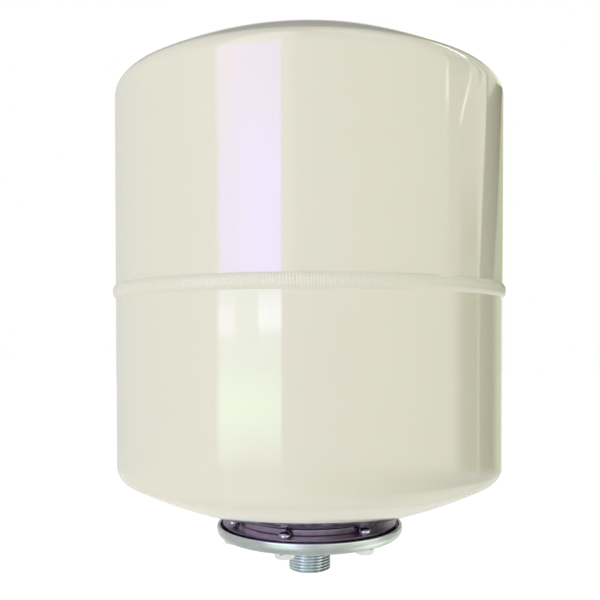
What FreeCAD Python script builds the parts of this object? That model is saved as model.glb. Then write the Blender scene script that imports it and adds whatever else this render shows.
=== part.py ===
"""Well pressure tank of about 24 litres, upright, with its water connection underneath.

Lengths are in millimetres. The origin is the centre of the connection's end face and +Z runs up
the tank's axis. Two deep-drawn steel shells are lapped and welded round the middle. A short neck
under the lower shell carries a steel ring, and six domed bolts clamp the lip of a rubber bladder
between that ring and a pressed flange. The threaded nipple passes through the flange. An air
valve sits in the middle of the top.
"""

import FreeCAD, Part

import collections
import math
import os

import Sketcher


SIZES = [
    # Pressed shells
    ("body_radius", 150.0, "outside radius of both shells"),
    ("shell_wall", 1.0, "sheet thickness of both shells"),
    ("upper_straight", 145.5, "straight wall above the seam"),
    ("upper_knuckle", 14.0, "outside radius of the upper corner"),
    ("upper_crown", 283.0, "outside radius of the domed top"),
    ("lower_straight", 132.5, "straight wall below the seam"),
    ("lower_knuckle", 13.0, "outside radius of the lower corner"),
    ("lower_crown", 303.0, "outside radius of the domed bottom"),
    # Lapped joint round the middle
    ("lap_height", 10.0, "height of the joggled lip inside the upper shell"),
    ("lap_clearance", 0.1, "gap between the lip and the upper shell"),
    ("joggle_run", 2.0, "height of the joggle's slope"),
    ("root_gap", 0.8, "gap between the joggle and the upper shell's edge"),
    ("bead_width", 10.5, "width of the weld bead up and down the wall"),
    ("bead_height", 2.3, "how far the weld bead stands out"),
    # Neck under the lower shell
    ("neck_radius", 55.5, "outside radius of the neck"),
    ("neck_height", 5.7, "from the ring's top up to the domed bottom, at the neck"),
    ("neck_bend", 2.0, "outside radius where the bottom turns into the neck"),
    ("neck_weld_leg", 0.6, "leg of the fillet weld at the neck's foot"),
    ("neck_ledge", 8.5, "how far the ring reaches inwards from the neck's outside"),
    # Ring and pressed flange
    ("ring_thickness", 6.0, "thickness of the ring"),
    ("ring_margin", 3.6, "ring left outside the bolt heads"),
    ("ring_edge", 1.0, "rounding of the ring's outer edges"),
    ("rim_gap", 2.0, "gap between the ring and the flange's rim"),
    ("rim_step", 1.4, "how far the rim's lip lies below the ring's top"),
    ("flange_wall", 2.5, "sheet thickness of the flange"),
    ("flange_corner", 3.5, "inside radius between the flange's plate and rim"),
    ("rim_edge", 1.0, "rounding of the rim's lip"),
    ("flange_hole_gap", 0.5, "gap round a bolt in the flange"),
    ("ring_hole_gap", 0.25, "gap round a bolt in the ring"),
    # Flange bolts and nuts
    ("bolt_count", 6, "bolts round the flange"),
    ("bolt_first_angle", -107.5, "first bolt, in degrees from +X towards +Y"),
    ("bolt_radius", 4.0, "bolt shank"),
    ("bolt_head_radius", 4.6, "domed bolt head"),
    ("bolt_head_height", 3.8, "height of the domed head"),
    ("bolt_head_round", 1.9, "rounding between a head's side and its top"),
    ("bolt_head_clearance", 0.1, "gap between a head and the neck's weld"),
    ("bolt_tail", 0.5, "bolt left below its nut"),
    ("bolt_tail_chamfer", 0.4, "chamfer on the bolt's end"),
    ("nut_flats", 13.0, "flange nut across its flats"),
    ("nut_height", 4.5, "flange nut"),
    ("nut_face_margin", 0.4, "chamfered ring outside a nut's round face"),
    ("thread_clearance", 0.05, "gap left for each screw thread"),
    # Water connection
    ("nipple_reach", 27.8, "from the connection's end to the flange"),
    ("nipple_thread_radius", 16.62, "one inch parallel pipe thread, over its crests"),
    ("nipple_shank_left", 3.88, "plain shank between the thread and the weld under the flange"),
    ("nipple_thread_depth", 1.42, "from the crests down to the plain shank"),
    ("nipple_wall", 1.7, "wall between the plain shank and the water way"),
    ("nipple_chamfer", 1.0, "chamfer at the connection's end"),
    ("nipple_fit", 0.1, "gap between the shank and the flange's hole"),
    ("nipple_weld_leg", 2.5, "leg of the fillet weld under the flange"),
    # Rubber bladder
    ("bag_wall", 1.8, "rubber thickness"),
    ("bag_side_gap", 39.0, "gap between the bladder's body and the shells"),
    ("bag_drop", 115.8, "bladder's upper corner below the shell's upper corner"),
    ("bag_neck_height", 18.0, "neck above the flange's plate"),
    ("bag_neck_bend", 15.0, "outside radius where the neck flares out"),
    ("bag_knuckle", 45.0, "outside radius of the bladder's upper corner"),
    ("bag_crown", 180.0, "outside radius of the bladder's top"),
    ("bag_neck_clearance", 1.7, "gap between the bladder's neck and the ring"),
    ("lip_thickness", 2.4, "clamped lip"),
    ("lip_margin", 1.75, "gap between the lip and the bolt holes"),
    # Air valve
    ("valve_shank_radius", 5.3, "threaded shank through the top"),
    ("valve_shank_reach", 5.5, "shank above the top"),
    ("valve_fit", 0.2, "gap round the shank"),
    ("valve_head_radius", 9.0, "head inside the tank"),
    ("valve_head_height", 2.5, "head inside the tank"),
    ("valve_stem_radius", 3.87, "stem over its thread"),
    ("valve_stem_reach", 14.0, "stem above the top"),
    ("valve_stem_wall", 1.17, "wall between the stem's outside and the valve's bore"),
    ("gasket_margin", 0.5, "gasket left outside the valve's head"),
    ("gasket_thickness", 2.0, "rubber gasket under the top"),
    ("washer_width", 4.5, "washer on the top, from its hole to its edge"),
    ("washer_thickness", 1.0, "washer on the top"),
    ("valve_nut_flats", 14.0, "valve nut across its flats"),
    ("valve_nut_height", 3.5, "valve nut"),
    ("core_clearance", 0.1, "gap between the core and the bore"),
    ("core_recess", 1.2, "core's top below the stem's end"),
    ("core_length", 16.0, "screwed-in core"),
    ("core_bore_radius", 1.0, "hole that guides the pin"),
    ("pin_clearance", 0.25, "gap between the pin and the core"),
    ("pin_recess", 0.3, "pin's tip below the stem's end"),
    ("plunger_clearance", 0.8, "gap between the plunger and the bore"),
    ("plunger_height", 0.8, "plunger under the core"),
    ("cap_wall", 1.4, "side wall of the dust cap"),
    ("cap_top", 1.5, "top of the dust cap"),
    ("cap_depth", 8.0, "inside depth of the dust cap"),
    ("cap_end_gap", 0.3, "gap above the stem's end"),
    ("cap_edge", 1.0, "rounding of the dust cap's top edge"),
]

FULL_TURN = 360.0
NEAR = 1e-6
CHAMFER_ANGLE = 30.0
HEX_SIDES = 6

# How a sketch numbers the points of an edge, and its own two axes.
START, END, CENTRE = range(1, 4)
HORIZONTAL_AXIS, VERTICAL_AXIS = range(-1, -3, -1)

doc = FreeCAD.newDocument("pressure_tank")
sheet = doc.addObject("Spreadsheet::Sheet", "size")
for row, (alias, number, meaning) in enumerate(SIZES, start=1):
    sheet.set(f"A{row}", meaning)
    sheet.set(f"B{row}", str(number))
    sheet.setAlias(f"B{row}", alias)
doc.recompute()


# Heights, as expressions over the sheet, from the connection's end upwards.
PLATE_TOP = "(size.nipple_reach + size.flange_wall)"
RING_FOOT = f"({PLATE_TOP} + size.lip_thickness)"
RING_TOP = f"({RING_FOOT} + size.ring_thickness)"
RIM_TOP = f"({RING_TOP} - size.rim_step)"
LOWER_CENTRE = f"({RING_TOP} + size.neck_height + sqrt(size.lower_crown^2 - size.neck_radius^2))"
LOWER_TANGENT = (f"({LOWER_CENTRE} - sqrt((size.lower_crown - size.lower_knuckle)^2"
                 " - (size.body_radius - size.lower_knuckle)^2))")
SEAM = f"({LOWER_TANGENT} + size.lower_straight)"
UPPER_EDGE = f"({SEAM} + size.root_gap)"
UPPER_TANGENT = f"({SEAM} + size.upper_straight)"
UPPER_CENTRE = (f"({UPPER_TANGENT} - sqrt((size.upper_crown - size.upper_knuckle)^2"
                " - (size.body_radius - size.upper_knuckle)^2))")
TOP = f"({UPPER_CENTRE} + size.upper_crown)"

# Radii that follow from what a piece holds or clears.
LAP_RADIUS = "(size.body_radius - size.shell_wall - size.lap_clearance)"
BOLT_CIRCLE = ("(size.neck_radius + size.neck_weld_leg + size.bolt_head_clearance"
               " + size.bolt_head_radius)")
RING_RADIUS = f"({BOLT_CIRCLE} + size.bolt_head_radius + size.ring_margin)"
RING_BORE = "(size.neck_radius - size.neck_ledge)"
RIM_RADIUS = f"({RING_RADIUS} + size.rim_gap + size.flange_wall)"
RING_HOLE = "(size.bolt_radius + size.ring_hole_gap)"
FLANGE_HOLE = "(size.bolt_radius + size.flange_hole_gap)"
LIP_RADIUS = f"({BOLT_CIRCLE} - {RING_HOLE} - size.lip_margin)"
BAG_NECK = f"({RING_BORE} - size.bag_neck_clearance)"
BAG_RADIUS = "(size.body_radius - size.shell_wall - size.bag_side_gap)"
NIPPLE_SHANK = "(size.nipple_thread_radius - size.nipple_thread_depth)"
NIPPLE_BORE = f"({NIPPLE_SHANK} - size.nipple_wall)"
THREAD_LENGTH = ("(size.nipple_reach - size.nipple_weld_leg - size.nipple_shank_left"
                 " - size.nipple_thread_depth)")
VALVE_HOLE = "(size.valve_shank_radius + size.valve_fit)"
VALVE_BORE = "(size.valve_stem_radius - size.valve_stem_wall)"
GASKET_RADIUS = "(size.valve_head_radius + size.gasket_margin)"
WASHER_RADIUS = f"({VALVE_HOLE} + size.washer_width)"
CORE_RADIUS = f"({VALVE_BORE} - size.core_clearance)"
PIN_RADIUS = "(size.core_bore_radius - size.pin_clearance)"
PLUNGER_RADIUS = f"({VALVE_BORE} - size.plunger_clearance)"


# A corner of an outline. The edge that arrives there is straight, or an arc of the given radius
# with its centre on the given side of the way that the outline is followed.
Corner = collections.namedtuple("Corner", "x z radius side", defaults=(None, None))


def value(expression):
    """The number that an expression over the sheet gives now."""
    return float(sheet.evalExpression(expression))


def backwards(run):
    """The same run of edges, followed the other way."""
    other_side = {"left": "right", "right": "left", None: None}
    turned_run = [Corner(run[-1].x, run[-1].z)]
    for corner, edge in zip(reversed(run[:-1]), reversed(run)):
        turned_run.append(Corner(corner.x, corner.z, edge.radius, other_side[edge.side]))
    return turned_run


def arc_between(start, end, radius, side):
    """The shorter arc of a circle from start to end."""
    chord = end.sub(start)
    left = FreeCAD.Vector(-chord.y, chord.x, 0).normalize()
    reach = math.sqrt(max(radius ** 2 - (chord.Length / 2) ** 2, 0))
    towards_centre = left if side == "left" else left.negative()
    middle = (start + end) / 2
    crest = middle + towards_centre * (reach - radius)
    return Part.Arc(start, crest, end)


def constrain(sketch, expression, kind, *where):
    """Add a dimension whose size follows an expression over the sheet."""
    index = sketch.addConstraint(Sketcher.Constraint(kind, *where, value(expression)))
    sketch.setExpression(f"Constraints[{index}]", expression)


def place_point(sketch, geometry, point, x, z):
    """Tie a point of the sketch to two expressions, or to the axis that it lies on."""
    for kind, expression, axis in (("DistanceX", x, VERTICAL_AXIS), ("DistanceY", z, HORIZONTAL_AXIS)):
        if expression == "0":
            sketch.addConstraint(Sketcher.Constraint("PointOnObject", geometry, point, axis))
        else:
            constrain(sketch, expression, kind, geometry, point)


def draw_outline(sketch, corners):
    """Closed outline through the corners, each one held by its own expressions."""
    points = [FreeCAD.Vector(value(corner.x), value(corner.z), 0) for corner in corners]
    edges = []
    for index, corner in enumerate(corners):
        start = points[index - 1]
        end = points[index]
        if corner.radius is None:
            curve = Part.LineSegment(start, end)
        else:
            curve = arc_between(start, end, value(corner.radius), corner.side)
        geometry = sketch.addGeometry(curve, False)
        as_drawn = sketch.getPoint(geometry, START).distanceToPoint(start) < NEAR
        edges.append((geometry, START, END) if as_drawn else (geometry, END, START))
    for index, corner in enumerate(corners):
        geometry, first, last = edges[index]
        before, _, before_last = edges[index - 1]
        sketch.addConstraint(Sketcher.Constraint("Coincident", before, before_last, geometry, first))
        place_point(sketch, geometry, last, corner.x, corner.z)
        if corner.radius is not None:
            constrain(sketch, corner.radius, "Radius", geometry)


def sketch_on(body, name, role):
    """New sketch on one of the body's own origin planes."""
    plane = next(item for item in body.Origin.OriginFeatures if item.Role == role)
    sketch = body.newObject("Sketcher::SketchObject", name)
    sketch.AttachmentSupport = (plane, [""])
    sketch.MapMode = "FlatFace"
    return sketch


def new_body(label):
    """Empty body with its own label."""
    body = doc.addObject("PartDesign::Body", label)
    body.Label = label
    return body


def turned(label, corners):
    """Body turned about the Z axis from one closed outline."""
    body = new_body(label)
    sketch = sketch_on(body, f"{label}_outline", "XZ_Plane")
    draw_outline(sketch, corners)
    feature = body.newObject("PartDesign::Revolution", f"{label}_turn")
    feature.Profile = sketch
    feature.ReferenceAxis = (sketch, ["V_Axis"])
    feature.Angle = FULL_TURN
    body.Tip = feature
    doc.recompute()
    return body


def turned_cut(body, name, corners):
    """Groove turned about the body's own Z axis."""
    sketch = sketch_on(body, f"{name}_outline", "XZ_Plane")
    draw_outline(sketch, corners)
    feature = body.newObject("PartDesign::Groove", name)
    feature.Profile = sketch
    feature.ReferenceAxis = (sketch, ["V_Axis"])
    feature.Angle = FULL_TURN
    body.Tip = feature
    doc.recompute()


def bolt_holes(body, radius):
    """Round holes through the body, one for each flange bolt."""
    sketch = sketch_on(body, f"{body.Label}_hole_outline", "XY_Plane")
    x = f"{BOLT_CIRCLE} * cos(size.bolt_first_angle)"
    y = f"{BOLT_CIRCLE} * sin(size.bolt_first_angle)"
    centre = FreeCAD.Vector(value(x), value(y), 0)
    upwards = FreeCAD.Vector(0, 0, 1)
    geometry = sketch.addGeometry(Part.Circle(centre, upwards, value(radius)), False)
    constrain(sketch, radius, "Radius", geometry)
    place_point(sketch, geometry, CENTRE, x, y)
    pocket = body.newObject("PartDesign::Pocket", f"{body.Label}_hole")
    pocket.Profile = sketch
    pocket.Type = "ThroughAll"
    pocket.SideType = "Symmetric"
    doc.recompute()
    pattern = body.newObject("PartDesign::PolarPattern", f"{body.Label}_holes")
    pattern.Originals = [pocket]
    pattern.Axis = (sketch, ["N_Axis"])
    pattern.Angle = FULL_TURN
    pattern.setExpression("Occurrences", "size.bolt_count")
    body.Tip = pattern
    doc.recompute()


def hex_nut(label, flats, height, bore):
    """Nut standing on z = 0, with chamfered corners and a plain bore."""
    body = new_body(label)
    prism = body.newObject("PartDesign::AdditivePrism", f"{label}_blank")
    prism.Polygon = HEX_SIDES
    corner_radius = f"({flats} / 2 / cos(180 / {HEX_SIDES}))"
    prism.setExpression("Circumradius", corner_radius)
    prism.setExpression("Height", height)
    doc.recompute()
    bore_cut = body.newObject("PartDesign::SubtractiveCylinder", f"{label}_bore")
    bore_cut.setExpression("Radius", bore)
    bore_cut.setExpression("Height", height)
    doc.recompute()
    face = f"({flats} / 2 - size.nut_face_margin)"
    outside = f"({corner_radius} + size.nut_face_margin)"
    drop = f"(({outside} - {face}) * tan({CHAMFER_ANGLE}))"
    turned_cut(body, f"{label}_top_chamfer", [
        Corner(face, height),
        Corner(outside, f"({height} - {drop})"),
        Corner(outside, height)])
    turned_cut(body, f"{label}_foot_chamfer", [
        Corner(face, "0"),
        Corner(outside, "0"),
        Corner(outside, drop)])
    return body


def move(body, x, y, z):
    """Place a body by expressions over the sheet."""
    body.setExpression("Placement.Base.x", x)
    body.setExpression("Placement.Base.y", y)
    body.setExpression("Placement.Base.z", z)


def head_run(radius, knuckle, crown, tangent, mouth="0"):
    """Knuckle and crown of a domed top, from its straight wall up to the mouth's edge."""
    across = f"({radius} - {knuckle})"
    between = f"({crown} - {knuckle})"
    centre = f"({tangent} - sqrt({between}^2 - {across}^2))"
    meeting_x = f"({crown} * {across} / {between})"
    meeting_z = f"({centre} + {crown} * sqrt({between}^2 - {across}^2) / {between})"
    return [
        Corner(radius, tangent),
        Corner(meeting_x, meeting_z, knuckle, "left"),
        Corner(mouth, f"({centre} + sqrt({crown}^2 - {mouth}^2))", crown, "left")]


def upper_shell():
    """Upper shell: a straight wall and a domed top with the valve's hole."""
    def surface(depth):
        radius = f"(size.body_radius - {depth})"
        knuckle = f"(size.upper_knuckle - {depth})"
        crown = f"(size.upper_crown - {depth})"
        return [Corner(radius, UPPER_EDGE)] + head_run(
            radius, knuckle, crown, UPPER_TANGENT, VALVE_HOLE)
    return turned("upper_shell", surface("0") + backwards(surface("size.shell_wall")))


def lower_shell():
    """Lower shell: joggled lip, straight wall, domed bottom and the neck round its mouth."""
    def surface(depth):
        lip = f"({LAP_RADIUS} - {depth})"
        wall = f"(size.body_radius - {depth})"
        knuckle = f"(size.lower_knuckle - {depth})"
        crown = f"(size.lower_crown - {depth})"
        across = "(size.body_radius - size.lower_knuckle)"
        between = "(size.lower_crown - size.lower_knuckle)"
        corner_x = f"({crown} * {across} / {between})"
        corner_z = f"({LOWER_CENTRE} - {crown} * sqrt({between}^2 - {across}^2) / {between})"
        bend_x = "(size.neck_radius + size.neck_bend)"
        bend_reach = "(size.lower_crown + size.neck_bend)"
        bend_drop = f"sqrt({bend_reach}^2 - {bend_x}^2)"
        return [
            Corner(lip, f"({SEAM} + size.lap_height)"),
            Corner(lip, SEAM),
            Corner(wall, f"({SEAM} - size.joggle_run)"),
            Corner(wall, LOWER_TANGENT),
            Corner(corner_x, corner_z, knuckle, "right"),
            Corner(f"({crown} * {bend_x} / {bend_reach})",
                   f"({LOWER_CENTRE} - {crown} * {bend_drop} / {bend_reach})", crown, "right"),
            Corner(f"(size.neck_radius - {depth})", f"({LOWER_CENTRE} - {bend_drop})",
                   f"(size.neck_bend + {depth})", "left"),
            Corner(f"(size.neck_radius - {depth})", RING_TOP)]
    return turned("lower_shell", surface("0") + backwards(surface("size.shell_wall")))


def girth_weld():
    """Weld bead that closes the lapped joint round the middle."""
    half_width = "(size.bead_width / 2)"
    bulge = f"(({half_width}^2 + size.bead_height^2) / (2 * size.bead_height))"
    return turned("girth_weld", [
        Corner("size.body_radius", UPPER_EDGE),
        Corner("size.body_radius", f"({SEAM} + {half_width})"),
        Corner("size.body_radius", f"({SEAM} - {half_width})", bulge, "right"),
        Corner("size.body_radius", f"({SEAM} - size.joggle_run)"),
        Corner(LAP_RADIUS, SEAM),
        Corner(LAP_RADIUS, UPPER_EDGE)])


def neck_weld():
    """Fillet weld between the neck's foot and the ring."""
    return turned("neck_weld", [
        Corner("size.neck_radius", RING_TOP),
        Corner("(size.neck_radius + size.neck_weld_leg)", RING_TOP),
        Corner("size.neck_radius", f"({RING_TOP} + size.neck_weld_leg)")])


def counter_flange():
    """Flat steel ring that the neck stands on and the bolts pass through."""
    flat = f"({RING_RADIUS} - size.ring_edge)"
    body = turned("counter_flange", [
        Corner(RING_BORE, RING_FOOT),
        Corner(flat, RING_FOOT),
        Corner(RING_RADIUS, f"({RING_FOOT} + size.ring_edge)", "size.ring_edge", "left"),
        Corner(RING_RADIUS, f"({RING_TOP} - size.ring_edge)"),
        Corner(flat, RING_TOP, "size.ring_edge", "left"),
        Corner(RING_BORE, RING_TOP)])
    bolt_holes(body, RING_HOLE)
    return body


def outer_flange():
    """Pressed flange: a plate with a rim that rises round the ring."""
    hole = f"({NIPPLE_SHANK} + size.nipple_fit)"
    inside = f"({RIM_RADIUS} - size.flange_wall)"
    outer_corner = "(size.flange_corner + size.flange_wall)"
    edge_height = f"({RIM_TOP} - size.rim_edge)"
    body = turned("outer_flange", [
        Corner(hole, "size.nipple_reach"),
        Corner(f"({RIM_RADIUS} - {outer_corner})", "size.nipple_reach"),
        Corner(RIM_RADIUS, f"(size.nipple_reach + {outer_corner})", outer_corner, "left"),
        Corner(RIM_RADIUS, edge_height),
        Corner(f"({RIM_RADIUS} - size.rim_edge)", RIM_TOP, "size.rim_edge", "left"),
        Corner(f"({inside} + size.rim_edge)", RIM_TOP),
        Corner(inside, edge_height, "size.rim_edge", "left"),
        Corner(inside, f"({PLATE_TOP} + size.flange_corner)"),
        Corner(f"({inside} - size.flange_corner)", PLATE_TOP, "size.flange_corner", "right"),
        Corner(hole, PLATE_TOP)])
    bolt_holes(body, FLANGE_HOLE)
    return body


def nipple():
    """Threaded pipe nipple, its thread drawn as a plain cylinder over the crests."""
    return turned("nipple", [
        Corner(NIPPLE_BORE, "0"),
        Corner("(size.nipple_thread_radius - size.nipple_chamfer)", "0"),
        Corner("size.nipple_thread_radius", "size.nipple_chamfer"),
        Corner("size.nipple_thread_radius", THREAD_LENGTH),
        Corner(NIPPLE_SHANK, f"({THREAD_LENGTH} + size.nipple_thread_depth)"),
        Corner(NIPPLE_SHANK, PLATE_TOP),
        Corner(NIPPLE_BORE, PLATE_TOP)])


def nipple_weld():
    """Fillet weld between the nipple's shank and the flange's underside."""
    return turned("nipple_weld", [
        Corner(NIPPLE_SHANK, "(size.nipple_reach - size.nipple_weld_leg)"),
        Corner(f"({NIPPLE_SHANK} + size.nipple_weld_leg)", "size.nipple_reach"),
        Corner(NIPPLE_SHANK, "size.nipple_reach")])


def bladder():
    """Rubber bladder: clamped lip, neck, flared shoulder, straight body and domed top."""
    shoulder = f"({BAG_RADIUS} - {BAG_NECK} - size.bag_neck_bend)"
    flare = f"({PLATE_TOP} + size.bag_neck_height)"
    level = f"({flare} + size.bag_neck_bend)"
    body_foot = f"({level} + {shoulder})"

    def surface(depth, foot):
        neck = f"({BAG_NECK} - {depth})"
        radius = f"({BAG_RADIUS} - {depth})"
        return [
            Corner(neck, foot),
            Corner(neck, flare),
            Corner(f"({BAG_NECK} + size.bag_neck_bend)", f"({level} + {depth})",
                   f"(size.bag_neck_bend + {depth})", "right"),
            Corner(radius, body_foot, f"({shoulder} - {depth})", "left"),
        ] + head_run(radius, f"(size.bag_knuckle - {depth})", f"(size.bag_crown - {depth})",
                     f"({UPPER_TANGENT} - size.bag_drop)")
    lip = [Corner(LIP_RADIUS, PLATE_TOP), Corner(LIP_RADIUS, RING_FOOT)]
    inside = backwards(surface("size.bag_wall", PLATE_TOP))
    return turned("bladder", lip + surface("0", RING_FOOT) + inside)


def flange_bolts():
    """Domed bolts pushed down through the ring and the flange, with their nuts underneath."""
    count = int(value("size.bolt_count"))
    reach = ("(size.ring_thickness + size.lip_thickness + size.flange_wall + size.nut_height"
             " + size.bolt_tail)")
    fasteners = []
    for number in range(count):
        angle = f"(size.bolt_first_angle + {number} * {FULL_TURN} / size.bolt_count)"
        x = f"{BOLT_CIRCLE} * cos({angle})"
        y = f"{BOLT_CIRCLE} * sin({angle})"
        bolt = turned(f"flange_bolt_{number + 1}", [
            Corner("0", f"(-{reach})"),
            Corner("(size.bolt_radius - size.bolt_tail_chamfer)", f"(-{reach})"),
            Corner("size.bolt_radius", f"(size.bolt_tail_chamfer - {reach})"),
            Corner("size.bolt_radius", "0"),
            Corner("size.bolt_head_radius", "0"),
            Corner("size.bolt_head_radius", "(size.bolt_head_height - size.bolt_head_round)"),
            Corner("(size.bolt_head_radius - size.bolt_head_round)", "size.bolt_head_height",
                   "size.bolt_head_round", "left"),
            Corner("0", "size.bolt_head_height")])
        move(bolt, x, y, RING_TOP)
        nut = hex_nut(f"flange_nut_{number + 1}", "size.nut_flats", "size.nut_height",
                      "(size.bolt_radius + size.thread_clearance)")
        move(nut, x, y, "(size.nipple_reach - size.nut_height)")
        nut.setExpression("Placement.Rotation.Angle", angle)
        fasteners += [bolt, nut]
    return fasteners


def air_valve():
    """Air valve in the middle of the top, from its gasket inside to the dust cap."""
    gasket_top = (f"({UPPER_CENTRE} + sqrt((size.upper_crown - size.shell_wall)^2"
                  f" - {GASKET_RADIUS}^2))")
    gasket_foot = f"({gasket_top} - size.gasket_thickness)"
    head_foot = f"({gasket_foot} - size.valve_head_height)"
    washer_foot = f"({UPPER_CENTRE} + sqrt(size.upper_crown^2 - {VALVE_HOLE}^2))"
    washer_top = f"({washer_foot} + size.washer_thickness)"
    shank_top = f"({TOP} + size.valve_shank_reach)"
    stem_top = f"({TOP} + size.valve_stem_reach)"
    core_top = f"({stem_top} - size.core_recess)"
    core_foot = f"({core_top} - size.core_length)"
    pin_top = f"({stem_top} - size.pin_recess)"
    plunger_foot = f"({core_foot} - size.plunger_height)"
    cap_inside = "(size.valve_stem_radius + size.thread_clearance)"
    cap_outside = f"({cap_inside} + size.cap_wall)"
    cap_ceiling = f"({stem_top} + size.cap_end_gap)"
    cap_foot = f"({cap_ceiling} - size.cap_depth)"
    cap_roof = f"({cap_ceiling} + size.cap_top)"

    body = turned("valve_body", [
        Corner(VALVE_BORE, head_foot),
        Corner("size.valve_head_radius", head_foot),
        Corner("size.valve_head_radius", gasket_foot),
        Corner("size.valve_shank_radius", gasket_foot),
        Corner("size.valve_shank_radius", shank_top),
        Corner("size.valve_stem_radius", shank_top),
        Corner("size.valve_stem_radius", stem_top),
        Corner(VALVE_BORE, stem_top)])
    gasket = turned("valve_gasket", [
        Corner(VALVE_HOLE, gasket_foot),
        Corner(GASKET_RADIUS, gasket_foot),
        Corner(GASKET_RADIUS, gasket_top),
        Corner(VALVE_HOLE, gasket_top)])
    washer = turned("valve_washer", [
        Corner(VALVE_HOLE, washer_foot),
        Corner(WASHER_RADIUS, washer_foot),
        Corner(WASHER_RADIUS, washer_top),
        Corner(VALVE_HOLE, washer_top)])
    nut = hex_nut("valve_nut", "size.valve_nut_flats", "size.valve_nut_height",
                  "(size.valve_shank_radius + size.thread_clearance)")
    move(nut, "0", "0", washer_top)
    core = turned("valve_core", [
        Corner("size.core_bore_radius", core_foot),
        Corner(CORE_RADIUS, core_foot),
        Corner(CORE_RADIUS, core_top),
        Corner("size.core_bore_radius", core_top)])
    pin = turned("valve_pin", [
        Corner("0", plunger_foot),
        Corner(PLUNGER_RADIUS, plunger_foot),
        Corner(PLUNGER_RADIUS, core_foot),
        Corner(PIN_RADIUS, core_foot),
        Corner(PIN_RADIUS, pin_top),
        Corner("0", pin_top)])
    cap = turned("dust_cap", [
        Corner(cap_inside, cap_foot),
        Corner(cap_outside, cap_foot),
        Corner(cap_outside, f"({cap_roof} - size.cap_edge)"),
        Corner(f"({cap_outside} - size.cap_edge)", cap_roof, "size.cap_edge", "left"),
        Corner("0", cap_roof),
        Corner("0", cap_ceiling),
        Corner(cap_inside, cap_ceiling)])
    return [body, gasket, washer, nut, core, pin, cap]


def check_and_write(parts):
    """Stop if anything failed to build, and otherwise write one file for each piece."""
    doc.recompute()
    failed = [item.Label for item in doc.Objects
              if "Invalid" in item.State or "Error" in item.State]
    if failed:
        raise RuntimeError(f"these objects failed to build: {failed}")
    for part in parts:
        if part.Shape.isNull() or not part.Shape.isValid():
            raise RuntimeError(f"{part.Label} has no valid shape")
    os.makedirs("parts", exist_ok=True)
    for part in parts:
        part.Shape.exportStep(f"parts/{part.Label}.step")
        print(f"{part.Label:18s} {part.Shape.Volume:12.1f} mm3")


pieces = [
    upper_shell(),
    lower_shell(),
    girth_weld(),
    neck_weld(),
    counter_flange(),
    outer_flange(),
    nipple(),
    nipple_weld(),
    bladder()]
pieces += flange_bolts()
pieces += air_valve()
check_and_write(pieces)
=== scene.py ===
"""Looks of the well pressure tank: glossy cream shells, a rippled girth weld and a zinc-plated
pipe connection, on a pale floor in soft light that comes from a tall window at the camera's left.

Lengths are in metres unless a name says otherwise. The camera is on the -Y side.
"""

import math

import bmesh
import bpy
from mathutils import Matrix, Vector


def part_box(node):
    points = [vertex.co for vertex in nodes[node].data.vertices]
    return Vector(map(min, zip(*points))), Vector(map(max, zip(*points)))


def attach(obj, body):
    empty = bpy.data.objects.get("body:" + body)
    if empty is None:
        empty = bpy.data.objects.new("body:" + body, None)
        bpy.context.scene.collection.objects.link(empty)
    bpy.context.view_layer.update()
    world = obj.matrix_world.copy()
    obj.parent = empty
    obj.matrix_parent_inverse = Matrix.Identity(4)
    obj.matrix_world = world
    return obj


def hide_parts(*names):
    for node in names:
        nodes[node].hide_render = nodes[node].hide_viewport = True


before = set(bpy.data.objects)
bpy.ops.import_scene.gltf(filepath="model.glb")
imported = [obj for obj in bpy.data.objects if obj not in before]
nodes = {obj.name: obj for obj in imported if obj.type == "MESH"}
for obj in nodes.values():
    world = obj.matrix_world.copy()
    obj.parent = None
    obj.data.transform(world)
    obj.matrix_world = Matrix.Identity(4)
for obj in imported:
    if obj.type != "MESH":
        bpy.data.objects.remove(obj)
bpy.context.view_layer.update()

MM = 0.001
BODY = "root"

# Shells, from the frame and the radii that their pressings were drawn with. Round the neck the
# paint stops PAINT_EDGE from the axis; inside it the bare steel is darkest at the neck and grows
# paler outwards.
UPPER_LOW, UPPER_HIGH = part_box("upper_shell")
LOWER_LOW, LOWER_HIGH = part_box("lower_shell")
BEAD_LOW, BEAD_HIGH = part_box("girth_weld")
BODY_RADIUS = UPPER_HIGH.x
SHELL_WALL = 1.0 * MM
UPPER_KNUCKLE = 14.0 * MM
UPPER_CROWN = 283.0 * MM
VALVE_HOLE = 5.5 * MM
LOWER_KNUCKLE = 13.0 * MM
LOWER_CROWN = 303.0 * MM
LAP_RADIUS = 148.9 * MM
JOGGLE_RUN = 2.0 * MM
NECK_RADIUS = 55.5 * MM
NECK_HEIGHT = 5.7 * MM
NECK_BEND = 2.0 * MM
PAINT_EDGE = 112.5 * MM
NECK_DARKENING_REACH = 8.0 * MM
RING_TOP = LOWER_LOW.z
SEAM = (BEAD_LOW.z + BEAD_HIGH.z) / 2
BEAD_HALF_WIDTH = (BEAD_HIGH.z - BEAD_LOW.z) / 2

# Weld bead: crescent ripples, bowed and wandering by so many radians of a ripple, and a groove
# along it. The groove's place and width are shares of the bead's half width, measured downwards
# from its middle.
RIPPLE_PITCH = 2.1 * MM
RIPPLE_HEIGHT = 0.28 * MM
RIPPLE_BOW = 2.4
RIPPLE_WANDER = 0.6
RIPPLE_WANDERS = 37
RIPPLE_STEPS = 7
GROOVE_DEPTH = 0.30 * MM
GROOVE_PLACE = 0.12
GROOVE_WIDTH = 0.13
BEAD_STEPS = 22

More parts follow.
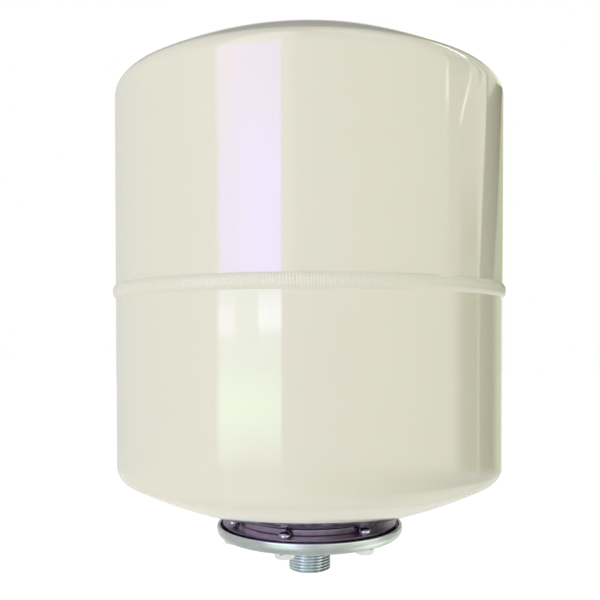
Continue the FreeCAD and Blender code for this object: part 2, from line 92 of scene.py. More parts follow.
# Pipe thread: THREAD_FLAT is the share of a half turn that stays flat at the crest and at the root.
THREAD_PITCH = 2.309 * MM
THREAD_DEPTH = 1.42 * MM
THREAD_END = 20.0 * MM
THREAD_FLAT = 0.14
THREAD_STEPS = 14
# The thread's crests are painted lighter, a painted highlight, from CREST_SHINE below the crest
# upwards.
CREST_SHINE = 0.3 * MM
NIPPLE_BORE = 13.5 * MM
NIPPLE_CHAMFER = 1.0 * MM

# Ring, flange and bolts. A head's section is a superellipse: 2 would make it an ellipse.
RING_LOW, RING_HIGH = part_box("counter_flange")
RING_BORE = 47.0 * MM
RING_EDGE = 0.1 * MM
RING_HOLE = 4.25 * MM
PLATE_LOW, PLATE_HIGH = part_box("outer_flange")
FLANGE_BORE = 15.3 * MM
FLANGE_WALL = 2.5 * MM
FLANGE_CORNER = 3.5 * MM
FLANGE_HOLE = 4.5 * MM
RIM_EDGE = 1.0 * MM
BOLTS = sorted(node for node in nodes if node.startswith("flange_bolt"))
NUTS = sorted(node for node in nodes if node.startswith("flange_nut"))
BOLT_SHANK = 4.0 * MM
BOLT_TAIL_CHAMFER = 0.4 * MM
HEAD_RADIUS = 4.6 * MM
HEAD_SQUARENESS = 3

# Meshes. A straight stretch of an outline has a second point HOLD from each end.
WALL_SEGMENTS = 512
SMALL_SEGMENTS = 128
ARC_STEPS = 16
HOLD = 0.2 * MM
MERGE = 0.0001 * MM
SHARP_ANGLE = math.radians(32)

# Materials: the range of a noise that clouds spread out, and the share of clouds on bare steel.
NOISE_LOW = 0.3
NOISE_HIGH = 0.7
STEEL_CLOUD = 0.6

# Camera of the photograph.
CAMERA_PLACE = (0.0, -0.65265, 0.1819)
CAMERA_PITCH = -0.0167
CAMERA_ROLL = 0.0014
CAMERA_LENS = 49.1
CAMERA_SENSOR = 36.0
CAMERA_SHIFT = (-0.0157, 0.0906)
CAMERA_NEAR = 10.0 * MM

WHITE = (1.0, 1.0, 1.0)

# Soft light: strongest from LIGHT_SIDE by LIGHT_LEAN, brighter all round by LIGHT_LEVEL, with a
# closer glow from FRONT_SIDE. It turns from white to SOFT_RIGHT while X of its direction, -1 at the
# tank's left and 1 at its right, goes through SOFT_TURN.
LIGHT_SIDE = Vector((-0.709, -0.705, 0.0))
LIGHT_LEAN = 0.86
LIGHT_LEVEL = 0.31
FRONT_SIDE = Vector((-0.1, -0.995, 0.0))
FRONT_GLOW = 0.64
FRONT_FALL = 3.0
SOFT_RIGHT = (1.0, 0.96, 0.50)
SOFT_TURN = (-0.1, 0.9)

# Floor: its light grows from FLOOR_GLOW_FOOT of FLOOR_GLOW to all of it between two distances
# from the tank's foot. The camera sees at least FLOOR_GLOW_SEEN.
FLOOR_HALF = 4.0
FLOOR_GLOW = 0.57
FLOOR_GLOW_SEEN = 0.8
FLOOR_GLOW_FOOT = 0.64
FLOOR_GLOW_REACH = (0.05, 0.45)
FLOOR_TINT = (1.0, 0.985, 0.90)

# The room that the gloss mirrors, as cards painted one over the other. Azimuths are in degrees
# from the camera's side of the tank, positive to its right; heights are in degrees from level.
# Each card has its two sides and how soft they are, its two ends and how soft they are, and
# its light. Some lean: first by how far their sides move over for each degree of height, then
# by how far their upper ends rise for each degree of azimuth. Cards that end at BACK fade into the
# wall behind the tank. Below LEVEL lies the floor, and FLOOR_TURN is the height at which it turns
# to FLOOR_BELOW, and how softly.
LEVEL = -9.0
SILL = 3.9
TOP = 90.0
BACK = 168.0
FADE = 10.0
FLOOR_MIRRORED = (0.90, 0.90, 0.84)
FLOOR_BELOW = (0.80, 0.86, 0.82)
FLOOR_TURN = (-52.0, 14.0)

# What a mirrored mirror shows: SECOND_LEFT, turning to SECOND_RIGHT over the azimuths of
# SECOND_TURN and back over those of SECOND_BACK.
SECOND_LEFT = (1.55, 1.48, 1.70)
SECOND_RIGHT = (0.36, 0.35, 0.36)
SECOND_TURN = (-30.0, 95.0)
SECOND_BACK = (-180.0, -120.0)

ROOM_CARDS = [
    # Left wall, and the wall behind the camera, which grows brighter to the right
    ((-200, 200), (1, 1), (LEVEL, TOP), 0.5, (0.70, 0.72, 0.70)),
    ((-64, BACK), (14, FADE), (LEVEL, TOP), 0.5, (1.20, 1.15, 1.20)),
    ((30, BACK), (42, FADE), (LEVEL, TOP), 0.5, (2.75, 2.70, 2.50)),
    # Right wall with its lines of light, all above the sill
    ((84, BACK), (3, FADE), (SILL, TOP), 0.3, (2.05, 2.05, 1.70)),
    ((94, 110.5), (3, 1.2), (SILL, 9.5), 3.0, (1.05, 1.10, 0.65)),
    ((82.0, 83.8), (0.4, 0.4), (15.8, 18.3), 0.6, (6.00, 6.20, 5.40)),
    ((39.6, 41.4), (0.5, 0.5), (14.6, 17.6), 0.3, (6.00, 6.20, 5.20), (3.6, 0)),
    ((111.8, 114.6), (0.7, 0.5), (17.2, TOP), 0.4, (0.50, 0.55, 0.35)),
    # Pale wall beyond, with the dark doorway under its rising lintel, then pale cloth
    ((115.0, BACK), (0.8, FADE), (SILL, TOP), 0.3, (1.90, 1.95, 1.60)),
    ((120.6, BACK), (0.8, FADE), (SILL, TOP), 0.3, (0.45, 0.48, 0.30)),
    ((123.6, BACK), (0.6, FADE), (SILL, TOP), 0.3, (1.15, 1.22, 0.90)),
    ((109.0, 152), (1.0, FADE), (SILL, 15.0), 0.35, (0.06, 0.06, 0.0), (0.76, 0.073)),
    ((125, 148), (2, 8), (SILL, 16.5), 0.5, (0.60, 0.66, 0.42), (1.7, 0)),
    # The same below the sill, where it is softer
    ((91.5, BACK), (8, FADE), (LEVEL, SILL), 0.3, (0.45, 0.50, 0.10)),
    ((110.5, 113), (0.8, 0.6), (LEVEL, SILL), 0.3, (1.10, 1.15, 0.75)),
    ((113.5, BACK), (1, FADE), (LEVEL, SILL), 0.3, (0.15, 0.12, 0.0)),
    ((134, BACK), (7, FADE), (LEVEL, SILL), 0.3, (0.80, 0.88, 0.62)),
    ((152, BACK), (3, FADE), (LEVEL, SILL), 0.3, (1.05, 1.10, 1.00)),
    # Tall window, pink at its left and lilac at its right, with a garden below the sill
    ((-51, -15.2), (2.6, 0.35), (SILL, 75), 0.3, (3.40, 2.10, 7.00)),
    ((-37, -15.2), (8, 0.35), (SILL, 75), 0.3, (4.10, 2.90, 9.60)),
    ((-51, -15.2), (2.6, 0.35), (15, 75), 4.0, (3.80, 2.30, 6.60)),
    ((-51, -15.2), (2.6, 0.35), (-8.6, SILL), 0.3, (2.80, 3.60, 3.60)),
    ((-51, -15.2), (2.6, 0.35), (-6.5, -2.5), 1.2, (3.40, 5.20, 4.00)),
    ((-28, -15.2), (0.8, 0.35), (0.7, 3.0), 0.3, (6.00, 6.50, 8.50)),
    ((-51, -41), (1.5, 0.8), (0.4, 2.6), 0.4, (5.20, 5.00, 7.00)),
    ((-15.2, -9), (0.35, 5), (SILL, 75), 0.5, (2.00, 1.90, 2.00)),
    ((-51, -44), (2.6, 3), (15, 75), 4.0, (3.60, 2.40, 4.60)),
    ((-51, -15.2), (2.6, 0.35), (25, 75), 5.0, (3.10, 2.60, 3.30)),
    # Glare on the floor: the window's, and a paler one to the right
    ((-48, -14), (9, 5), (-32, LEVEL), 4.0, (1.40, 1.50, 1.40)),
    ((75, 145), (12, 14), (-62, -23.5), 1.0, (1.20, 1.24, 1.14), (0, 0.13)),
    ((62, 116), (20, 8), (-50, -22.0), 0.5, (1.80, 1.80, 1.65), (0, 0.06)),
    # Light and dark lines that run along the crown's outline
    ((70, 77), (2, 2), (36, 51), 3.0, (7.00, 7.00, 6.60), (1.2, 0)),
    ((84, 104), (3, 3), (17.8, 33), 1.5, (1.10, 1.30, 0.95)),
    ((145, 200), (6, 1), (28, 62), 4.0, (0.25, 0.25, 0.25)),
    ((-200, -145), (1, 6), (28, 62), 4.0, (0.25, 0.25, 0.25)),
]


def arc_points(centre, radius, start, end, steps=ARC_STEPS):
    """Points on an arc in the (radius, height) plane, angles in radians from the radius axis."""
    points = []
    for step in range(steps + 1):
        angle = start + (end - start) * step / steps
        points.append((centre[0] + radius * math.cos(angle), centre[1] + radius * math.sin(angle)))
    return points


def held(start, end):
    """A straight stretch, with a point close to each end that keeps its shading straight."""
    reach = HOLD / math.dist(start, end)
    points = []
    for share in (0, reach, 1 - reach, 1):
        points.append(tuple(a + (b - a) * share for a, b in zip(start, end)))
    return points


def lathe(name, outline, segments, radius_at=None, body_slots=None):
    """Closed surface turned about Z. radius_at may change a point's radius round the axis."""
    vertices = []
    for step in range(segments):
        angle = 2 * math.pi * step / segments
        for index, (radius, height) in enumerate(outline):
            if radius_at:
                radius = radius_at(angle, index, radius)
            vertices.append((radius * math.cos(angle), radius * math.sin(angle), height))
    count = len(outline)
    faces = []
    for step in range(segments):
        here = step * count
        there = (step + 1) % segments * count
        for index in range(count):
            after = (index + 1) % count
            faces.append((here + index, there + index, there + after, here + after))
    mesh = bpy.data.meshes.new(name)
    mesh.from_pydata(vertices, [], faces)
    if body_slots:
        for face, polygon in enumerate(mesh.polygons):
            polygon.material_index = body_slots(outline[face % count])
    return finished(name, mesh)


def placed(name, data):
    """New object in the scene."""
    thing = bpy.data.objects.new(name, data)
    bpy.context.scene.collection.objects.link(thing)
    return thing


def finished(name, mesh):
    """Object with outward faces, smooth but for its real edges."""
    shape = bmesh.new()
    shape.from_mesh(mesh)
    bmesh.ops.remove_doubles(shape, verts=shape.verts, dist=MERGE)
    bmesh.ops.recalc_face_normals(shape, faces=shape.faces)
    shape.to_mesh(mesh)
    shape.free()
    mesh.shade_smooth()
    mesh.set_sharp_from_angle(angle=SHARP_ANGLE)
    return placed(name, mesh)


def stand_for(piece, node, slot, *materials):
    """Dress a new piece, tie it to the tank and let it stand for a node of the frame."""
    for material in materials:
        piece.data.materials.append(material)
    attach(piece, BODY)
    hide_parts(node)
    return piece


def upper_outline(depth):
    """Upper shell's surface, sunk by depth, from the seam up to the valve's hole."""
    centre = UPPER_HIGH.z - math.sqrt(UPPER_CROWN ** 2 - VALVE_HOLE ** 2)
    across = BODY_RADIUS - UPPER_KNUCKLE
    rise = math.sqrt((UPPER_CROWN - UPPER_KNUCKLE) ** 2 - across ** 2)
    tangent = centre + rise
    meeting = math.atan2(rise, across)
    crown = UPPER_CROWN - depth
    pole = math.acos(VALVE_HOLE / crown)
    wall = BODY_RADIUS - depth
    return (held((wall, UPPER_LOW.z), (wall, tangent))
            + arc_points((across, tangent), UPPER_KNUCKLE - depth, 0, meeting)[1:]
            + arc_points((0, centre), crown, meeting, pole, 3 * ARC_STEPS)[1:])


def lower_outline(depth):
    """Lower shell's surface, sunk by depth, from the joggled lip down to the neck's foot."""
    centre = RING_TOP + NECK_HEIGHT + math.sqrt(LOWER_CROWN ** 2 - NECK_RADIUS ** 2)
    across = BODY_RADIUS - LOWER_KNUCKLE
    drop = math.sqrt((LOWER_CROWN - LOWER_KNUCKLE) ** 2 - across ** 2)
    tangent = centre - drop
    meeting = -math.atan2(drop, across)
    crown = LOWER_CROWN - depth
    bend_x = NECK_RADIUS + NECK_BEND
    bend_drop = math.sqrt((LOWER_CROWN + NECK_BEND) ** 2 - bend_x ** 2)
    leaving = -math.atan2(bend_drop, bend_x)
    paint_edge = -math.acos(PAINT_EDGE / LOWER_CROWN)
    wall = BODY_RADIUS - depth
    return ([(LAP_RADIUS - depth, LOWER_HIGH.z), (LAP_RADIUS - depth, SEAM)]
            + held((wall, SEAM - JOGGLE_RUN), (wall, tangent))
            + arc_points((across, tangent), LOWER_KNUCKLE - depth, 0, meeting)[1:]
            + arc_points((0, centre), crown, meeting, paint_edge, 2 * ARC_STEPS)[1:]
            + arc_points((0, centre), crown, paint_edge, leaving, 2 * ARC_STEPS)[1:]
            + arc_points((bend_x, centre - bend_drop), NECK_BEND + depth,
                         leaving + math.pi, math.pi)[1:]
            + [(NECK_RADIUS - depth, RING_TOP)])


def bare_below_paint(point):
    """1, the bare steel, from the paint's edge inwards and down to the neck's foot, otherwise 0."""
    radius, height = point
    return int(radius < PAINT_EDGE + HOLD and height < SEAM - JOGGLE_RUN)


def shell(name, outline, body_slots=None):
    """Pressed shell with its wall, from an outline that may be sunk by any depth."""
    closed = outline(0) + outline(SHELL_WALL)[::-1]
    return lathe(name, closed, WALL_SEGMENTS, body_slots=body_slots)


def girth_bead():
    """Weld bead with crescent ripples and a shallow groove along it, laid once round the middle."""
    ripples = round(2 * math.pi * BODY_RADIUS / RIPPLE_PITCH)
    height = BEAD_HIGH.x - BODY_RADIUS
    bulge = (BEAD_HALF_WIDTH ** 2 + height ** 2) / (2 * height)
    reach = math.asin(BEAD_HALF_WIDTH / bulge)
    centre = (BODY_RADIUS + height - bulge, SEAM)
    face = arc_points(centre, bulge, reach, -reach, BEAD_STEPS)
    crests = len(face)
    outline = face + [(LAP_RADIUS, SEAM - JOGGLE_RUN), (LAP_RADIUS, UPPER_LOW.z)]

    def rippled(angle, index, radius):
        if index >= crests:
            return radius
        across = 2 * index / (crests - 1) - 1
        phase = angle * ripples + RIPPLE_BOW * across ** 2
        phase += RIPPLE_WANDER * math.sin(angle * RIPPLE_WANDERS)
        notch = 1 - abs(math.sin(phase / 2))
        fade = 1 - across ** 2
        groove = GROOVE_DEPTH * math.exp(-((across - GROOVE_PLACE) / GROOVE_WIDTH) ** 2)
        return radius - RIPPLE_HEIGHT * notch * fade - groove

    return lathe("girth_weld_bead", outline, ripples * RIPPLE_STEPS, rippled)


def ring_outline():
    """Flat ring with rounded outer edges."""
    foot, top = RING_LOW.z, RING_HIGH.z
    flat = RING_HIGH.x - RING_EDGE
    quarter = math.pi / 2
    return (held((RING_BORE, foot), (flat, foot))
            + arc_points((flat, foot + RING_EDGE), RING_EDGE, -quarter, 0)[1:]
            + held((RING_HIGH.x, foot + RING_EDGE), (RING_HIGH.x, top - RING_EDGE))[1:]
            + arc_points((flat, top - RING_EDGE), RING_EDGE, 0, quarter)[1:]
            + held((flat, top), (RING_BORE, top))[1:])


def flange_outline():
    """Pressed plate with a rim that rises round the ring."""
    foot, top = PLATE_LOW.z, PLATE_HIGH.z
    rim = PLATE_HIGH.x
    inside = rim - FLANGE_WALL
    plate_top = foot + FLANGE_WALL
    outer = FLANGE_CORNER + FLANGE_WALL
    lip = top - RIM_EDGE
    bend = plate_top + FLANGE_CORNER
    quarter = math.pi / 2
    return (held((FLANGE_BORE, foot), (rim - outer, foot))
            + arc_points((rim - outer, foot + outer), outer, -quarter, 0)[1:]
            + held((rim, foot + outer), (rim, lip))[1:]
            + arc_points((rim - RIM_EDGE, lip), RIM_EDGE, 0, quarter)[1:]
            + arc_points((inside + RIM_EDGE, lip), RIM_EDGE, quarter, 2 * quarter)
            + held((inside, lip), (inside, bend))[1:]
            + arc_points((inside - FLANGE_CORNER, bend), FLANGE_CORNER, 0, -quarter)[1:]
            + held((inside - FLANGE_CORNER, plate_top), (FLANGE_BORE, plate_top))[1:])


def pierced(name, outline, radius):
    """Turned plate with a round hole for each bolt."""
    plate = lathe(name, outline, WALL_SEGMENTS)
    shape = bmesh.new()
    for bolt in BOLTS:
        low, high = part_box(bolt)
        bmesh.ops.create_cone(shape, cap_ends=True, segments=SMALL_SEGMENTS, radius1=radius,
                              radius2=radius, depth=2 * (high.z - low.z),
                              matrix=Matrix.Translation((low + high) / 2))
    drill_mesh = bpy.data.meshes.new("drill")
    shape.to_mesh(drill_mesh)
    shape.free()
    drill = placed("drill", drill_mesh)
    cut = plate.modifiers.new("holes", "BOOLEAN")
    cut.operation = "DIFFERENCE"
    cut.object = drill
    bpy.context.view_layer.update()
    drilled = plate.evaluated_get(bpy.context.evaluated_depsgraph_get())
    mesh = bpy.data.meshes.new_from_object(drilled)
    for used in (plate, drill):
        bpy.data.objects.remove(used)
    return finished(name, mesh)


def domed_bolt(node):
    """Bolt whose head has steep sides that round over into a low dome."""
    low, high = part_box(node)
    seat = RING_HIGH.z
    power = 2 / HEAD_SQUARENESS
    outline = [(0, low.z), (BOLT_SHANK - BOLT_TAIL_CHAMFER, low.z),
               (BOLT_SHANK, low.z + BOLT_TAIL_CHAMFER), (BOLT_SHANK, seat), (HEAD_RADIUS, seat)]
    steps = 3 * ARC_STEPS
    for step in range(1, steps + 1):
        angle = math.pi / 2 * step / steps
        radius = HEAD_RADIUS * max(0, math.cos(angle)) ** power if step < steps else 0
        outline.append((radius, seat + (high.z - seat) * math.sin(angle) ** power))
    bolt = lathe(f"{node}_domed", outline, SMALL_SEGMENTS)
    bolt.data.transform(Matrix.Translation(((low.x + high.x) / 2, (low.y + high.y) / 2, 0)))
    return bolt


def threaded_nipple():
    """Nipple with its right-hand pipe thread cut as a helix."""
    low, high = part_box("nipple")
    crest = high.x
    shank = crest - THREAD_DEPTH
    steps = round(THREAD_END / THREAD_PITCH * THREAD_STEPS)
    thread = [(crest, THREAD_END * step / steps) for step in range(steps + 1)]
    outline = [(NIPPLE_BORE, low.z)] + thread + [
        (shank, THREAD_END + THREAD_DEPTH), (shank, high.z), (NIPPLE_BORE, high.z)]
    first = 1
    last = first + steps

    def cut(angle, index, radius):
        if not first <= index <= last:
            return radius
        height = outline[index][1]
        turn = (height / THREAD_PITCH - angle / (2 * math.pi)) % 1
        flank = abs(2 * turn - 1)
        groove = min(max((flank - THREAD_FLAT) / (1 - 2 * THREAD_FLAT), 0), 1)
        rounded = groove * groove * (3 - 2 * groove)
        lead = min(1, max(0, (THREAD_END - height) / THREAD_PITCH))
        chamfer = max(0, NIPPLE_CHAMFER - height)
        return min(crest - THREAD_DEPTH * rounded * lead, crest - chamfer)

    return lathe("threaded_nipple", outline, SMALL_SEGMENTS, cut)


def feed(tree, socket, given):
    """Give a socket a link from another socket, a colour or a number."""
    if isinstance(given, bpy.types.NodeSocket):
        tree.links.new(given, socket)
    elif socket.type == "RGBA":
        socket.default_value = (*given, 1.0)
    else:
        socket.default_value = given


def set_inputs(tree, node, **inputs):
    """Feed a node's inputs by name, underscores standing for spaces."""
    for name, given in inputs.items():
        feed(tree, node.inputs[name.replace("_", " ")], given)


def add_node(tree, kind, **inputs):
    """New node with its inputs fed."""
    node = tree.nodes.new(kind)
    set_inputs(tree, node, **inputs)
    return node


def sums(tree, operation, *terms):
    """Output of a maths node over numbers or sockets."""
    node = tree.nodes.new("ShaderNodeMath")
    node.operation = operation
    for socket, given in zip(node.inputs, terms):
        feed(tree, socket, given)
    return node.outputs[0]


def blend_colours(tree, share, first, second):
    """Output of a colour mix; each colour is a tuple or a socket."""
    node = tree.nodes.new("ShaderNodeMix")
    node.data_type = "RGBA"
    for index, given in ((0, share), (6, first), (7, second)):
        feed(tree, node.inputs[index], given)
    return node.outputs[2]


def ramp_between(tree, given, low, high, to_low=0.0, to_high=1.0):
    """Smooth step of a value between two limits."""
    node = add_node(tree, "ShaderNodeMapRange", Value=given, From_Min=low, From_Max=high,
                    To_Min=to_low, To_Max=to_high)
    node.interpolation_type = "SMOOTHSTEP"
    return node.outputs[0]


def object_noise(tree, scale, detail=3.0, stretch=(1.0, 1.0, 1.0)):
    """Noise fixed to the object, scale in features per metre."""
    place = tree.nodes.new("ShaderNodeTexCoord")
    mapping = add_node(tree, "ShaderNodeMapping", Vector=place.outputs["Object"], Scale=stretch)
    noise = add_node(tree, "ShaderNodeTexNoise", Vector=mapping.outputs[0], Scale=scale,
                     Detail=detail)
    return noise.outputs["Fac"]


def clouds(tree, noise, low=0.0, high=1.0):
    """A noise whose middle is spread from one number to another."""
    return ramp_between(tree, noise, NOISE_LOW, NOISE_HIGH, low, high)


def new_material(name):
    """Material with only a Principled shader, its tree and that shader."""
    material = bpy.data.materials.new(name)
    material.use_nodes = True
    tree = material.node_tree
    return material, tree, tree.nodes["Principled BSDF"]


def add_bump(tree, shader, *layers):
    """Bump from several (height, distance) layers, distances in metres."""
    normal = None
    for height, distance in layers:
        bump = add_node(tree, "ShaderNodeBump", Height=height, Distance=distance, Strength=1.0)
        if normal:
            tree.links.new(normal, bump.inputs["Normal"])
        normal = bump.outputs[0]
    tree.links.new(normal, shader.inputs["Normal"])


def cream_paint():
    """Glossy cream powder coat: faint orange peel, and the slow waves of pressed sheet."""
    material, tree, shader = new_material("cream_paint_finish")
    tone = object_noise(tree, 9.0, 2.0)
    colour = blend_colours(tree, tone, (0.745, 0.733, 0.648), (0.735, 0.723, 0.638))
    haze = clouds(tree, object_noise(tree, 60.0), 0.05, 0.08)
    set_inputs(tree, shader, Base_Color=colour, Roughness=haze)
    add_bump(tree, shader, (object_noise(tree, 14.0, 1.0), 0.1 * MM),
             (object_noise(tree, 260.0, 2.0), 0.004 * MM))
    return material


def bright_zinc(name, dark, light, smooth, rough):
    """Zinc plate: pale, faintly green, clouded, with faint turning marks."""
    material, tree, shader = new_material(name)
    cloud = object_noise(tree, 45.0, 3.0, (1.0, 1.0, 3.0))
    colour = blend_colours(tree, clouds(tree, cloud), dark, light)
    set_inputs(tree, shader, Base_Color=colour, Metallic=1.0,
               Roughness=clouds(tree, cloud, smooth, rough))
    marks = object_noise(tree, 120.0, 2.0, (1.0, 1.0, 9.0))
    add_bump(tree, shader, (marks, 0.012 * MM), (object_noise(tree, 500.0), 0.004 * MM))
    return material


def radius_from_axis(tree):
    """Distance from the tank's axis, in metres."""
    place = tree.nodes.new("ShaderNodeTexCoord")
    split = add_node(tree, "ShaderNodeSeparateXYZ", Vector=place.outputs["Object"])
    across = sums(tree, "MULTIPLY", split.outputs["X"], split.outputs["X"])
    across = sums(tree, "MULTIPLY_ADD", split.outputs["Y"], split.outputs["Y"], across)
    return sums(tree, "SQRT", across)


def thread_zinc():
    """Zinc on the pipe thread: painted shade darkens the grooves and a painted highlight lightens
    the crests.
    """
    material, tree, shader = new_material("thread_zinc_shaded_finish")
    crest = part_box("nipple")[1].x
    # Painted shade at the thread's root, ramping up to a painted highlight near the crest.
    root_shade_to_crest_highlight = ramp_between(tree, radius_from_axis(tree), crest - THREAD_DEPTH,
                                crest - CREST_SHINE)
    colour = blend_colours(tree, root_shade_to_crest_highlight, (0.40, 0.47, 0.47), (0.56, 0.63, 0.62))
    set_inputs(tree, shader, Base_Color=colour, Metallic=1.0,
               Roughness=clouds(tree, object_noise(tree, 300.0), 0.18, 0.24))
    return material


def dark_zinc():
    """Dark plate with a violet cast."""
    material, tree, shader = new_material("dark_zinc_finish")
    colour = blend_colours(tree, clouds(tree, object_noise(tree, 50.0, 4.0)),
                           (0.155, 0.122, 0.155), (0.205, 0.175, 0.22))
    set_inputs(tree, shader, Base_Color=colour, Metallic=1.0,
               Roughness=clouds(tree, object_noise(tree, 200.0), 0.16, 0.26))
    add_bump(tree, shader, (object_noise(tree, 300.0), 0.01 * MM))
    return material


def bare_steel():
    """Unpainted steel round the neck: dark violet at the neck, turning paler blue-grey further out.
    """
    material, tree, shader = new_material("bare_steel_finish")
    # Darker and more violet at the neck's foot, paler blue-grey further out.
    away = ramp_between(tree, radius_from_axis(tree), NECK_RADIUS, NECK_RADIUS + NECK_DARKENING_REACH)
    tint = blend_colours(tree, away, (0.25, 0.205, 0.265), (0.80, 0.77, 0.84))
    clouded = blend_colours(tree, STEEL_CLOUD, tint, (0.44, 0.45, 0.52))
    colour = blend_colours(tree, clouds(tree, object_noise(tree, 40.0, 4.0)), tint, clouded)
    set_inputs(tree, shader, Base_Color=colour, Metallic=1.0,
               Roughness=clouds(tree, object_noise(tree, 150.0), 0.12, 0.20))
    add_bump(tree, shader, (object_noise(tree, 250.0), 0.01 * MM))
    return material


def plain_finish(name, dark, light, scale, smooth, rough, metallic=0.0, bump=0.02 * MM):
    """Two tones clouded together over the object, with roughness that varies a little."""
    material, tree, shader = new_material(name)
    colour = blend_colours(tree, object_noise(tree, scale, 4.0), dark, light)
    set_inputs(tree, shader, Base_Color=colour, Metallic=metallic,
               Roughness=clouds(tree, object_noise(tree, scale * 3), smooth, rough))
    add_bump(tree, shader, (object_noise(tree, scale * 5), bump))
    return material


def dress(node, material):
    """Give a node of the frame its finish."""
    slots = nodes[node].data.materials
    for index in range(len(slots)):
        slots[index] = material


def make_pieces():
    """Every visible piece with its finish."""
    paint = cream_paint()
    bare = bare_steel()
    plate = dark_zinc()
    zinc = bright_zinc("bright_zinc_finish", (0.47, 0.52, 0.50), (0.58, 0.62, 0.60), 0.12, 0.17)
    pressed = bright_zinc("pressed_zinc_finish", (0.41, 0.45, 0.44), (0.49, 0.525, 0.515),
                          0.22, 0.28)
    nut = plain_finish("nut_zinc_finish", (0.70, 0.71, 0.76), (0.82, 0.82, 0.88),
                       90.0, 0.14, 0.20, 1.0, 0.01 * MM)
    # The bolts' zinc is far darker than the nuts' zinc: painted shade for the heads that sit under
    # the lower dome.
    shaded_bolt_zinc = plain_finish("bolt_zinc_shaded_finish", (0.27, 0.26, 0.30), (0.33, 0.32, 0.36),
                        150.0, 0.07, 0.11, 1.0, 0.01 * MM)
    primer = plain_finish("red_primer_finish", (0.13, 0.02, 0.03), (0.20, 0.03, 0.045),
                          150.0, 0.35, 0.5)
    rubber = plain_finish("bladder_rubber_finish", (0.018, 0.018, 0.018), (0.032, 0.032, 0.032),
                          60.0, 0.55, 0.7)
    brass = plain_finish("brass_finish", (0.60, 0.42, 0.17), (0.75, 0.56, 0.27),
                         120.0, 0.22, 0.36, 1.0)
    plastic = plain_finish("cap_plastic_finish", (0.02, 0.02, 0.022), (0.035, 0.035, 0.038),
                           200.0, 0.38, 0.5)
    stand_for(shell("upper_shell_skin", upper_outline), "upper_shell", "cream_paint", paint)
    stand_for(shell("lower_shell_skin", lower_outline, bare_below_paint), "lower_shell",
              "cream_paint", paint, bare)
    stand_for(girth_bead(), "girth_weld", "cream_paint", paint)
    stand_for(threaded_nipple(), "nipple", "bright_zinc", thread_zinc())
    stand_for(pierced("counter_flange_drilled", ring_outline(), RING_HOLE), "counter_flange",
              "dark_zinc", plate)
    stand_for(pierced("outer_flange_drilled", flange_outline(), FLANGE_HOLE), "outer_flange",
              "bright_zinc", pressed)
    for node in BOLTS:
        stand_for(domed_bolt(node), node, "bright_zinc", shaded_bolt_zinc)
    for material, dressed in ((nut, NUTS), (zinc, ("nipple_weld", "valve_washer")),
                              (primer, ("neck_weld",)), (rubber, ("bladder", "valve_gasket")),
                              (brass, ("valve_body", "valve_nut", "valve_core", "valve_pin")),
                              (plastic, ("dust_cap",))):
        for node in dressed:
            dress(node, material)


def make_floor():
    """Pale floor that the connection stands on."""
    mesh = bpy.data.meshes.new("floor")
    near, far = -FLOOR_HALF, FLOOR_HALF
    mesh.from_pydata([(near, near, 0), (far, near, 0), (far, far, 0), (near, far, 0)], [],
                     [(0, 1, 2, 3)])
    floor = placed("floor", mesh)
    material, tree, shader = new_material("floor_finish")
    place = tree.nodes.new("ShaderNodeTexCoord")
    away = tree.nodes.new("ShaderNodeVectorMath")
    away.operation = "LENGTH"
    tree.links.new(place.outputs["Object"], away.inputs[0])
    glow = ramp_between(tree, away.outputs["Value"], *FLOOR_GLOW_REACH,
                        FLOOR_GLOW * FLOOR_GLOW_FOOT, FLOOR_GLOW)
    seen = tree.nodes.new("ShaderNodeLightPath").outputs["Is Camera Ray"]
    glow = sums(tree, "MAXIMUM", glow, sums(tree, "MULTIPLY", seen, FLOOR_GLOW_SEEN))
    set_inputs(tree, shader, Base_Color=(0.8, 0.8, 0.8), Roughness=0.9, Emission_Strength=glow,
               Emission_Color=blend_colours(tree, seen, FLOOR_TINT, WHITE))
    mesh.materials.append(material)
    floor.visible_glossy = False


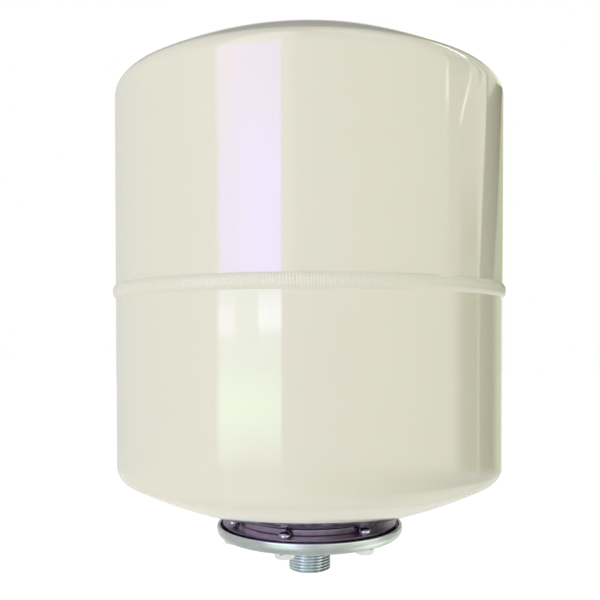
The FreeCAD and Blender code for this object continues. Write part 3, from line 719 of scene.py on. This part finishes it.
def make_world():
    """Soft studio light, and the room that the gloss mirrors."""
    world = bpy.data.worlds.new("studio")
    bpy.context.scene.world = world
    world.use_nodes = True
    world.cycles.sampling_method = "NONE"
    tree = world.node_tree
    background = tree.nodes["Background"]
    place = tree.nodes.new("ShaderNodeTexCoord")
    split = add_node(tree, "ShaderNodeSeparateXYZ", Vector=place.outputs["Generated"])
    forward = sums(tree, "MULTIPLY", split.outputs["Y"], -1.0)
    azimuth = sums(tree, "DEGREES", sums(tree, "ARCTAN2", split.outputs["X"], forward))
    height = sums(tree, "DEGREES", sums(tree, "ARCSINE", split.outputs["Z"]))

    def edge(given, place, soft):
        """0 before a place and 1 after it, in degrees."""
        return ramp_between(tree, given, place - soft, place + soft)

    def card(below, sides, soft_sides, ends, soft_end, colour, leans=(0, 0)):
        """A coloured card between two azimuths and two heights, over what is below it."""
        across, upwards = azimuth, height
        if leans[0]:
            across = sums(tree, "MULTIPLY_ADD", height, -leans[0], azimuth)
        if leans[1]:
            past = sums(tree, "SUBTRACT", azimuth, sides[0])
            upwards = sums(tree, "MULTIPLY_ADD", past, -leans[1], height)
        mask = edge(across, sides[0], soft_sides[0])
        for given, place, soft in ((across, sides[1], soft_sides[1]), (upwards, ends[1], soft_end)):
            before = sums(tree, "SUBTRACT", 1.0, edge(given, place, soft))
            mask = sums(tree, "MULTIPLY", mask, before)
        mask = sums(tree, "MULTIPLY", mask, edge(height, ends[0], soft_end))
        return blend_colours(tree, mask, below, colour)

    def towards(side):
        """1 towards a side, 0 across it and -1 away from it."""
        lean = tree.nodes.new("ShaderNodeVectorMath")
        lean.operation = "DOT_PRODUCT"
        tree.links.new(place.outputs["Generated"], lean.inputs[0])
        lean.inputs[1].default_value = side
        return lean.outputs["Value"]

    glow = sums(tree, "MULTIPLY_ADD", towards(LIGHT_SIDE), LIGHT_LEAN, LIGHT_LEVEL)
    glow = sums(tree, "MAXIMUM", glow, 0.0)
    front = sums(tree, "POWER", sums(tree, "MAXIMUM", towards(FRONT_SIDE), 0.0), FRONT_FALL)
    glow = sums(tree, "MULTIPLY_ADD", front, FRONT_GLOW, glow)
    rightwards = ramp_between(tree, split.outputs["X"], *SOFT_TURN)
    tint = blend_colours(tree, rightwards, WHITE, SOFT_RIGHT)
    tinted = tree.nodes.new("ShaderNodeVectorMath")
    tinted.operation = "SCALE"
    tree.links.new(tint, tinted.inputs[0])
    tree.links.new(glow, tinted.inputs["Scale"])
    soft_light = tinted.outputs[0]
    room = blend_colours(tree, edge(height, *FLOOR_TURN), FLOOR_BELOW, FLOOR_MIRRORED)
    for given in ROOM_CARDS:
        room = card(room, *given)
    light_path = tree.nodes.new("ShaderNodeLightPath")
    again = ramp_between(tree, light_path.outputs["Glossy Depth"], 1.0, 2.0)
    turned = sums(tree, "MAXIMUM", ramp_between(tree, azimuth, *SECOND_TURN),
                  ramp_between(tree, azimuth, *SECOND_BACK, 1.0, 0.0))
    second_room = blend_colours(tree, turned, SECOND_LEFT, SECOND_RIGHT)
    room = blend_colours(tree, again, room, second_room)
    seen = blend_colours(tree, light_path.outputs["Is Glossy Ray"], soft_light, room)
    seen = blend_colours(tree, light_path.outputs["Is Camera Ray"], seen, WHITE)
    tree.links.new(seen, background.inputs["Color"])


def make_camera():
    """The photograph's camera."""
    data = bpy.data.cameras.new("camera")
    data.lens = CAMERA_LENS
    data.sensor_width = CAMERA_SENSOR
    data.sensor_fit = "HORIZONTAL"
    data.shift_x, data.shift_y = CAMERA_SHIFT
    data.clip_start = CAMERA_NEAR
    camera = placed("camera", data)
    camera.location = CAMERA_PLACE
    camera.rotation_euler = (math.pi / 2 + CAMERA_PITCH, CAMERA_ROLL, 0)
    bpy.context.scene.camera = camera


make_pieces()
make_floor()
make_world()
make_camera()
bpy.context.scene.view_settings.view_transform = "Standard"
